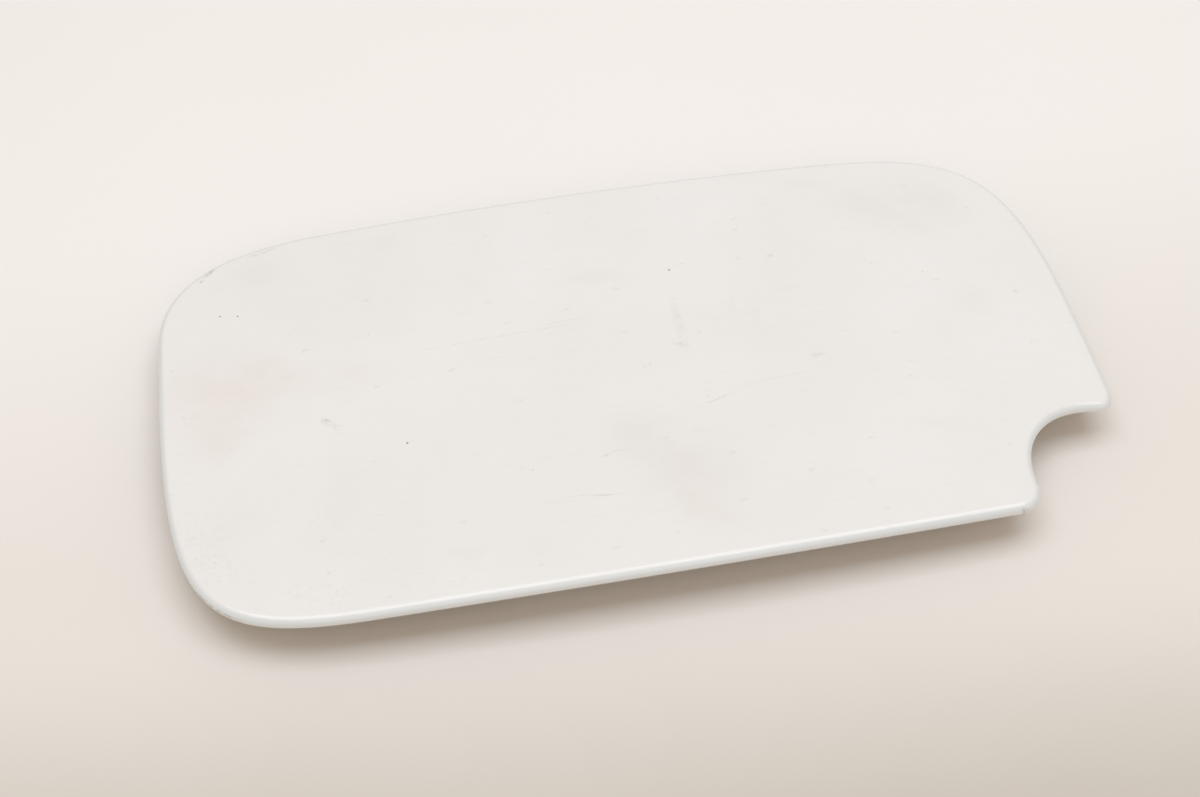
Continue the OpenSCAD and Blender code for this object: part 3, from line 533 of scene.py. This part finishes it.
def buffer_rubber():
    """Matt black rubber, greyed where it has pressed on the car."""
    f = Finish("buffer_rubber")
    cloud = f.grain(2.2, 4, 0.6)
    foot = f.limit(f.add("ShaderNodeSeparateXYZ", {}, {0: f.place})["Z"], 0, 0.0012, 1, 0)
    body = f.tint(f.limit(cloud, 0.35, 0.7), (0.022, 0.022, 0.024), (0.045, 0.044, 0.043))
    body = f.tint(foot * 0.5, body, (0.12, 0.115, 0.11))
    return f.surface(Base_Color=body, Roughness=f.limit(cloud, 0.3, 0.7, 0.62, 0.8),
                     Normal=f.bumps(f.grain(0.4, 3, 0.6), 0.03, 0.5))


def grey_mastic():
    f = Finish("grey_mastic")
    cloud = f.grain(2.0, 4, 0.6)
    body = f.tint(f.limit(cloud, 0.3, 0.7), (0.17, 0.17, 0.175), (0.23, 0.225, 0.22))
    return f.surface(Base_Color=body, Roughness=f.limit(cloud, 0.3, 0.7, 0.6, 0.78),
                     Normal=f.bumps(f.grain(0.8, 3, 0.6), 0.08, 0.6))


class Shaper(Tree):
    """A geometry tree with named inputs. It ends in Realize Instances and Set Material."""

    def __init__(self, name, inputs):
        self.group = bpy.data.node_groups.new(name, "GeometryNodeTree")
        super().__init__(self.group)
        face = self.group.interface
        face.new_socket(name="Geometry", in_out="INPUT", socket_type="NodeSocketGeometry")
        self.ids = {}
        for key, (kind, value) in inputs.items():
            socket = face.new_socket(name=key, in_out="INPUT", socket_type=kind)
            if value is not None:
                socket.default_value = value
            self.ids[key] = socket.identifier
        face.new_socket(name="Geometry", in_out="OUTPUT", socket_type="NodeSocketGeometry")
        self.given = self.add("NodeGroupInput")

    def end(self, shape, material):
        whole = self.add("GeometryNodeRealizeInstances", {}, {"Geometry": shape})[0]
        set_it = self.add("GeometryNodeSetMaterial", {}, {"Geometry": whole, "Material": material})[0]
        self.add("NodeGroupOutput", {}, {"Geometry": set_it})

    def apply(self, piece, values=None):
        """Runs the tree on a piece and leaves the result as its plain mesh."""
        modifier = piece.modifiers.new(self.group.name, "NODES")
        modifier.node_group = self.group
        for key, value in (values or {}).items():
            modifier[self.ids[key]] = value
        graph = bpy.context.evaluated_depsgraph_get()
        plain = bpy.data.meshes.new_from_object(piece.evaluated_get(graph))
        piece.modifiers.remove(modifier)
        old, piece.data = piece.data, plain
        bpy.data.meshes.remove(old)
        plain.name = piece.name
        return piece


def press_tree(material):
    """Presses a flat sheet into the door's double crown."""
    t = Shaper("press_crown", {"Length": ("NodeSocketFloat", DOOR_L * MM),
                               "Width": ("NodeSocketFloat", DOOR_W * MM),
                               "Drop to the ends": ("NodeSocketFloat", CROWN_L * MM),
                               "Drop to the sides": ("NodeSocketFloat", CROWN_W * MM),
                               "Middle": ("NodeSocketFloat", MID_X * MM)})
    at = t.add("GeometryNodeInputPosition")[0]
    xyz = t.add("ShaderNodeSeparateXYZ", {}, {0: at})
    end_share = (xyz["X"] - t.given["Middle"]) * 2 / t.given["Length"]
    side_share = xyz["Y"] * 2 / t.given["Width"]
    drop = (end_share * end_share * t.given["Drop to the ends"]
            + side_share * side_share * t.given["Drop to the sides"])
    move = t.add("ShaderNodeCombineXYZ", {}, {"Z": 0 - drop})[0]
    pressed = t.add("GeometryNodeSetPosition", {}, {"Geometry": t.given["Geometry"], "Offset": move})[0]
    t.end(pressed, material)
    return t


def wire_tree(material):
    """Turns a line of points into round wire."""
    t = Shaper("wire_run", {"Wire diameter": ("NodeSocketFloat", 1.2 * MM), "Sides": ("NodeSocketInt", 16)})
    line = t.add("GeometryNodeMeshToCurve", {}, {"Mesh": t.given["Geometry"]})[0]
    section = t.add("GeometryNodeCurvePrimitiveCircle", {}, {"Resolution": t.given["Sides"],
                                                             "Radius": t.given["Wire diameter"] / 2})[0]
    wire = t.add("GeometryNodeCurveToMesh", {}, {"Curve": line, "Profile Curve": section, "Fill Caps": True})[0]
    t.end(wire, material)
    return t


def set_out_tree(name, material):
    """Sets the same piece out on each of the given points."""
    t = Shaper(name, {"Piece": ("NodeSocketObject", None), "Size": ("NodeSocketFloat", 1.0)})
    info = t.add("GeometryNodeObjectInfo", {"transform_space": "ORIGINAL"},
                 {"Object": t.given["Piece"], "As Instance": True})
    points = t.add("GeometryNodeMeshToPoints", {}, {"Mesh": t.given["Geometry"]})[0]
    placed = t.add("GeometryNodeInstanceOnPoints", {}, {"Points": points, "Instance": info["Geometry"],
                                                         "Scale": t.given["Size"]})[0]
    t.end(placed, material)
    return t


def turned(name, profile_mm, steps):
    """A solid of revolution about Z. The profile runs from the axis at the bottom to the axis at the top."""
    angles = np.linspace(0, 2 * math.pi, steps, endpoint=False)
    verts = [(r * math.cos(a), r * math.sin(a), z) for r, z in profile_mm for a in angles]
    faces = []
    for k in range(len(profile_mm) - 1):
        for i in range(steps):
            j = (i + 1) % steps
            faces.append((k * steps + i, k * steps + j, (k + 1) * steps + j, (k + 1) * steps + i))
    piece = make_piece(name, verts, faces)
    point_outwards(piece)
    bm = bmesh.new()
    bm.from_mesh(piece.data)
    bmesh.ops.dissolve_degenerate(bm, dist=1e-6, edges=bm.edges)
    bm.to_mesh(piece.data)
    bm.free()
    return piece


def outer_skin(paint, inside):
    """Crowned face, round rim and the hem's return, made flat and then pressed."""
    top = np.full(COUNT, DOOR_H)
    shares = [0.96, 0.9, 0.8, 0.7, 0.6, 0.5, 0.4, 0.3, 0.2, 0.12, 0.06, 0.02]
    face = [ring(part_way(t), top) for t in shares]
    rim = []
    for a in np.radians(np.linspace(0, 180, 25)):
        soft = SHOULDER * (1 - math.sin(a)) if math.cos(a) > 0 else 0
        p = ROUND_AT - INWARD * (RIM_R * math.sin(a) - soft)
        rim.append(ring(p, DOOR_H - RIM_R + RIM_R * math.cos(a)))
    low = DOOR_H - 2 * RIM_R
    back = [ring(along(d), low) for d in (1, 2.5, 4, 5.5, 6.6, 6.9)]
    back += [ring(along(HEM_RETURN), low + 0.12), ring(along(HEM_RETURN), low + SKIN_T - 0.12)]
    core = [ring(along(d), low + SKIN_T) for d in (6.9, 5.5, 4, 2.5, 1)]
    for a in np.radians(np.linspace(180, 0, 11)):
        p = ROUND_AT - INWARD * CORE_R * math.sin(a)
        core.append(ring(p, DOOR_H - RIM_R + CORE_R * math.cos(a)))
    under = [ring(part_way(t), top - SKIN_T) for t in shares[::-1]]
    middle = ring(SPINE, DOOR_H)
    rings = [r + [MID_X, 0, 0] for r in face + rim + back + core + under]
    piece = closed_sheet("door_skin", rings, middle + [MID_X, 0, 0], middle + [MID_X, 0, -SKIN_T])
    press_tree(paint).apply(piece)
    piece.data.materials.append(inside)
    painted_faces = (len(face) + len(rim) + len(back) - 1) * COUNT
    in_bands = (len(rings) - 1) * COUNT
    first_cap_end = (in_bands + len(piece.data.polygons)) // 2
    for k, polygon in enumerate(piece.data.polygons):
        polygon.material_index = 0 if k < painted_faces or in_bands <= k < first_cap_end else 1
    shade(piece, 40)
    return piece


SCREWS_AT = [(PIN_X + SCREW_IN, SCREW_APART), (PIN_X + SCREW_IN, -SCREW_APART),
             (PIN_X + SCREW_IN + SCREW_STEP, 0.0)]
BUFFERS_AT = [(MID_X - 22, side_y(22) - 23), (MID_X - 22, 23 - side_y(22)),
              (MID_X + WALL_X - 36, 23 - side_y(WALL_X - 36)), (MID_X + HALF_L - 28, 14.0)]


def panel_sheet(inside):
    """Flange in the hem, swaged seat ring and raised field, with its holes cut."""
    bend = math.tan(math.radians(22.5))
    flange_z, field_z = SKIN_T + HEM_GAP, SKIN_T + FIELD_GAP
    shares = np.linspace(0, 1, 11)
    rise = shares * shares * (3 - 2 * shares)

    def side(low):
        cut, less = (INNER_T * bend, INNER_T) if low else (0, 0)
        rings = []
        for d in (EDGE_GAP, 3, 6, 9):
            p = along(d)
            rings.append(ring(p, DOOR_H + crown(p) - flange_z - less))
        for s, r in zip(shares, rise):
            p = along(FLANGE_W + WALL_RUN * s - cut)
            rings.append(ring(p, (DOOR_H + crown(p) - flange_z) * (1 - r) + SEAT_TOP * r - less))
        for s, r in zip(shares, rise):
            p = RAY_END - RAY * (FIELD_R + WALL_RUN * (1 - s) - cut)
            rings.append(ring(p, SEAT_TOP * (1 - r) + (DOOR_H + crown(p) - field_z) * r - less))
        for share in (0.75, 0.5, 0.25, 0.06):
            p = RAY_END - RAY * (FIELD_R - (INNER_T * bend if low else 0)) * share
            rings.append(ring(p, DOOR_H + crown(p) - field_z - less))
        return rings

    rings = [r + [MID_X, 0, 0] for r in side(False)[::-1] + side(True)]
    spine = ring(SPINE, DOOR_H + crown(SPINE) - field_z) + [MID_X, 0, 0]
    piece = closed_sheet("pressed_panel", rings, spine, spine - [0, 0, INNER_T])
    holes = [(x, y, SCREW_HOLE_R, 32) for x, y in SCREWS_AT] + [(x, y, BUFFER_HOLE_R, 40) for x, y in BUFFERS_AT]
    lights = [SPINE_FROM, (SPINE_FROM + SPINE_TO) / 2, SPINE_TO]
    holes += [(MID_X + x, 0, LIGHT_HOLE_R, 64) for x in lights]
    for x in lights:
        drain_y = side_y(x) - RIM_R - FLANGE_W - WALL_RUN - DRAIN_IN
        holes += [(MID_X + x, s * drain_y, DRAIN_R, 32) for s in (-1, 1)]
    for x, y, r, steps in holes:
        drill = turned("drill", [(0, 4), (r, 4), (r, 20), (0, 20)], steps)
        drill.data.transform(Matrix.Translation((x * MM, y * MM, 0)))
        cut = piece.modifiers.new("hole", "BOOLEAN")
        cut.operation, cut.solver, cut.object = "DIFFERENCE", "EXACT", drill
        graph = bpy.context.evaluated_depsgraph_get()
        plain = bpy.data.meshes.new_from_object(piece.evaluated_get(graph))
        piece.modifiers.remove(cut)
        piece.data = plain
        bpy.data.objects.remove(drill)
    piece.data.materials.clear()
    piece.data.materials.append(inside)
    shade(piece, 35)
    return piece


def points_piece(name, places_mm):
    return make_piece(name, [(x, y, 0) for x, y in places_mm], [])


def rubber_buffers(rubber):
    """Four push-in buffers with rounded feet, a neck in the sheet and a retaining head."""
    r, neck = 4.5, 2.95
    profile = [(0, 0.35), (1.6, 0.35), (2.1, 0.0), (3.1, 0), (3.45, 0.12), (3.68, 0.5), (3.85, 1.1), (4.1, 2.4),
               (4.32, 4.2), (4.45, 6.0), (r, 6.9), (r, 8.0), (4.44, 8.36), (4.2, 8.53), (neck, 8.55), (neck, 9.55),
               (neck + 0.75, 9.57), (neck + 0.9, 9.75), (neck + 0.8, 10.1), (neck + 0.3, 11.05), (2.2, 11.5),
               (1.4, 11.68), (0, 11.7)]
    one = turned("one_buffer", profile, 48)
    piece = points_piece("rubber_buffers", BUFFERS_AT)
    set_out_tree("set_out_buffers", rubber).apply(piece, {"Piece": one})
    bpy.data.objects.remove(one)
    shade(piece, 40)
    return piece


def leaf_screws(steel):
    """Three hexagon screws with chamfered heads."""
    flat_r, shank_r, root_r, head_h, pitch = 4.0, 2.5, 2.22, 3.0, 0.8
    tip, head_z = SEAT_TOP + 3.2, SEAT_H - LEAF_T - WASHER_T - SCREW_GAP - head_h
    corner_r = flat_r / math.cos(math.radians(30))
    z = head_z + head_h

    # Each level: radius, height, and 0 for round, 1 for the rounded hexagon's start, 2 for the hexagon
    levels = [(0, head_z + 0.12, 0), (2.9, head_z + 0.12, 0), (3.55, head_z, 0), (3.85, head_z + 0.04, 0),
              (flat_r, head_z + 0.28, 1), (flat_r, head_z + 0.62, 2), (flat_r, z - 0.08, 2), (3.92, z, 2),
              (shank_r, z, 0)]
    while z + pitch < tip - 0.6:
        levels += [(shank_r, z + 0.1, 0), (root_r, z + 0.4, 0), (root_r, z + 0.48, 0), (shank_r, z + 0.78, 0)]
        z += pitch
    levels += [(shank_r, tip - 0.45, 0), (2.15, tip, 0), (0, tip, 0)]
    steps = 60
    verts = []
    for r, z, hexed in levels:
        for i in range(steps):
            a = 2 * math.pi * i / steps
            flat = flat_r / math.cos((a + math.pi / 6) % (math.pi / 3) - math.pi / 6)
            full = min(flat, corner_r)
            wide = r if hexed == 0 else (min(full, r + 0.28) if hexed == 1 else full * (r / flat_r))
            verts.append((wide * math.cos(a), wide * math.sin(a), z))
    faces = [(k * steps + i, k * steps + (i + 1) % steps, (k + 1) * steps + (i + 1) % steps, (k + 1) * steps + i)
             for k in range(len(levels) - 1) for i in range(steps)]
    one = make_piece("one_screw", verts, faces)
    point_outwards(one)
    piece = points_piece("leaf_screws", SCREWS_AT)
    set_out_tree("set_out_screws", steel).apply(piece, {"Piece": one})
    bpy.data.objects.remove(one)
    shade(piece, 28)
    return piece


def spring_line():
    """The middle line of the torsion spring, from the leg under the loop to the leg over the leaf."""
    coil_r, turns, wire, coil_pitch = 3.3, 8, 1.2, 1.4
    half = coil_pitch * (turns + 0.5) / 2
    leg_low = np.array([SCREW_IN - 4 / math.cos(math.pi / 6) - 0.4 + 1, PLATE_T + wire * 1.3 - PIN_H])
    leg_high = np.array([RIM_R + FLANGE_W - PIN_IN + 1, SEAT_H - PIN_H + wire * 0.75])

    def touch(p, s):
        return math.degrees(math.atan2(p[1], p[0])) + s * math.degrees(math.acos(coil_r / np.linalg.norm(p)))
    low_a, high_a = touch(leg_low, -1), touch(leg_high, 1)
    total = 360 * turns + high_a - low_a
    steps = turns * 40
    line = [(leg_low[0], -half, leg_low[1])]
    start = np.array([coil_r * math.cos(math.radians(low_a)), -half, coil_r * math.sin(math.radians(low_a))])
    line += [tuple(np.array(line[0]) * (1 - t) + start * t) for t in (0.2, 0.4, 0.6, 0.8)]
    for k in range(steps + 1):
        a = math.radians(low_a + total * k / steps)
        line.append((coil_r * math.cos(a), -half + 2 * half * k / steps, coil_r * math.sin(a)))
    end = np.array([leg_high[0], half, leg_high[1]])
    line += [tuple(np.array(line[-1]) * (1 - t) + end * t) for t in (0.33, 0.66, 1)]
    return np.array(line) + [PIN_X, 0, PIN_H], half


def closing_spring(wire_finish):
    line, half = spring_line()
    mesh = bpy.data.meshes.new("closing_spring")
    mesh.from_pydata([tuple(p) for p in line * MM], [(i, i + 1) for i in range(len(line) - 1)], [])
    piece = bpy.data.objects.new("closing_spring", mesh)
    bpy.context.scene.collection.objects.link(piece)
    wire_tree(wire_finish).apply(piece)
    point_outwards(piece)
    shade(piece, 50)
    return piece, half


paint, inside = outer_paint(), inner_paint()
plating, steel, wire_finish = zinc(), plated_steel(), spring_wire()
nylon, rubber, mastic = natural_nylon(), buffer_rubber(), grey_mastic()

NODE_FINISH = {"zinc_plate": plating, "fastener_steel": steel, "spring_steel": wire_finish, "nylon": nylon,
               "rubber": rubber, "mastic": mastic, "door_paint": inside}
for entry in frame["record"]["subparts"]:
    node = frame["nodes"][entry["node"]]
    for k in range(len(node.data.materials)):
        node.data.materials[k] = NODE_FINISH[entry["material_slot"]]

skin = outer_skin(paint, inside)
panel = panel_sheet(inside)
buffers = rubber_buffers(rubber)
screws = leaf_screws(steel)
spring, spring_half = closing_spring(wire_finish)

for piece, nodes, slot in ((skin, ["outer_skin"], "door_paint"), (panel, ["inner_panel"], "door_paint"),
                           (buffers, [f"rubber_buffer_{k}" for k in (1, 2, 3, 4)], "rubber"),
                           (screws, [f"leaf_screw_{k}" for k in (1, 2, 3)], "fastener_steel")):
    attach(piece, "door")
    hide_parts(*nodes)
-spring_half * MM
PIN_H * MM
spring_half * MM
PIN_H * MM
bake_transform(spring)
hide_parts("return_spring")


def floor_finish():
    """A pale table with painted shade, darker and browner towards the front, and clear from below."""
    f = Finish("pale_table")
    painted_front_shade, middle, pale = (0.585, 0.52, 0.46), (0.825, 0.764, 0.717), (0.925, 0.874, 0.855)
    # Painted shade: darker and browner towards the front and under the door's front edge, standing in for light
    # falling off and warming the door's cast shadow; pale again outside a soft pool about the door
    at = f.add("ShaderNodeSeparateXYZ", {}, {0: f.place})
    body = f.tint(f.limit(at["X"] * 0.1 + at["Y"], -0.128, -0.05), painted_front_shade, middle)
    body = f.tint(f.limit(at["Y"], -0.05, 0.09), body, pale)
    away = f.add("ShaderNodeVectorMath", {"operation": "DISTANCE"}, {0: f.place, 1: (0.09, -0.15, 0)})["Value"]
    body = f.tint(f.limit(away, 0.2, 0.55), body, pale)
    body = f.tint(f.limit(f.grain(160, 3, 0.5), 0.35, 0.7, 0, 0.12), body, (0.84, 0.80, 0.77))
    top = f.add("ShaderNodeBsdfPrincipled", {}, {"Base Color": body, "Roughness": 0.6, "IOR": 1.4})[0]
    clear = f.add("ShaderNodeBsdfTransparent")[0]
    from_below = f.add("ShaderNodeNewGeometry")["Backfacing"]
    whole = f.add("ShaderNodeMixShader", {}, {0: from_below, 1: top, 2: clear})[0]
    f.add("ShaderNodeOutputMaterial", {}, {"Surface": whole})
    return f.material


FLOOR_REACH = 4000
floor_corners = [(x * FLOOR_REACH, y * FLOOR_REACH, 0) for x, y in ((-1, -1), (1, -1), (1, 1), (-1, 1))]
floor = make_piece("table_top", floor_corners, [(0, 1, 2, 3)])
floor.data.materials.append(floor_finish())

world = bpy.data.worlds.new("studio")
world.use_nodes = True
room = Tree(world.node_tree)
room.nodes.clear()
path = room.add("ShaderNodeLightPath")
seen = room.add("ShaderNodeMath", {"operation": "MAXIMUM"},
                {0: path["Is Camera Ray"], 1: path["Is Transmission Ray"]})[0]
fill = room.add("ShaderNodeBackground", {}, {"Color": (1.0, 0.90, 0.76, 1), "Strength": 0.55})[0]
pale = room.add("ShaderNodeBackground", {}, {"Color": (0.87, 0.85, 0.825, 1), "Strength": 1.0})[0]
both = room.add("ShaderNodeMixShader", {}, {0: seen, 1: fill, 2: pale})[0]
room.add("ShaderNodeOutputWorld", {}, {"Surface": both})
bpy.context.scene.world = world


def softbox(name, wide, deep, place, tilt, watts, colour):
    """A soft lamp that points down, tilted by degrees towards +Y."""
    data = bpy.data.lights.new(name, "AREA")
    data.shape, data.size, data.size_y = "RECTANGLE", wide, deep
    data.energy, data.color = watts, colour
    lamp = bpy.data.objects.new(name, data)
    bpy.context.scene.collection.objects.link(lamp)
    lamp.location, lamp.rotation_euler = place, (math.radians(tilt), 0, 0)


softbox("key_softbox", 1.10, 0.60, (0.125, 0.055, 1.0), 0, 6.35, (0.765, 0.875, 0.98))
softbox("front_softbox", 1.00, 1.00, (0.0, -0.95, 1.10), 41, 2.1, (0.98, 0.98, 0.97))

PHOTO_WIDE, FOCAL_LENGTH, SENSOR_WIDE = 1200, 1667.0, 36.0
camera_data = bpy.data.cameras.new("camera")
camera_data.sensor_width, camera_data.lens = SENSOR_WIDE, FOCAL_LENGTH / PHOTO_WIDE * SENSOR_WIDE
camera_data.clip_start, camera_data.clip_end = 0.01, 20
camera = bpy.data.objects.new("camera", camera_data)
bpy.context.scene.collection.objects.link(camera)
RIGHT = (0.983583, -0.179996, -0.012857)
DOWN = (-0.149153, -0.770805, -0.619366)
AHEAD = (0.101573, 0.611115, -0.784997)
EYE = (0.024956, -0.264533, 0.341446)
camera.matrix_world = Matrix([(RIGHT[k], -DOWN[k], -AHEAD[k], EYE[k]) for k in range(3)] + [(0, 0, 0, 1)])
bpy.context.scene.camera = camera
bpy.context.scene.view_settings.view_transform = "Standard"
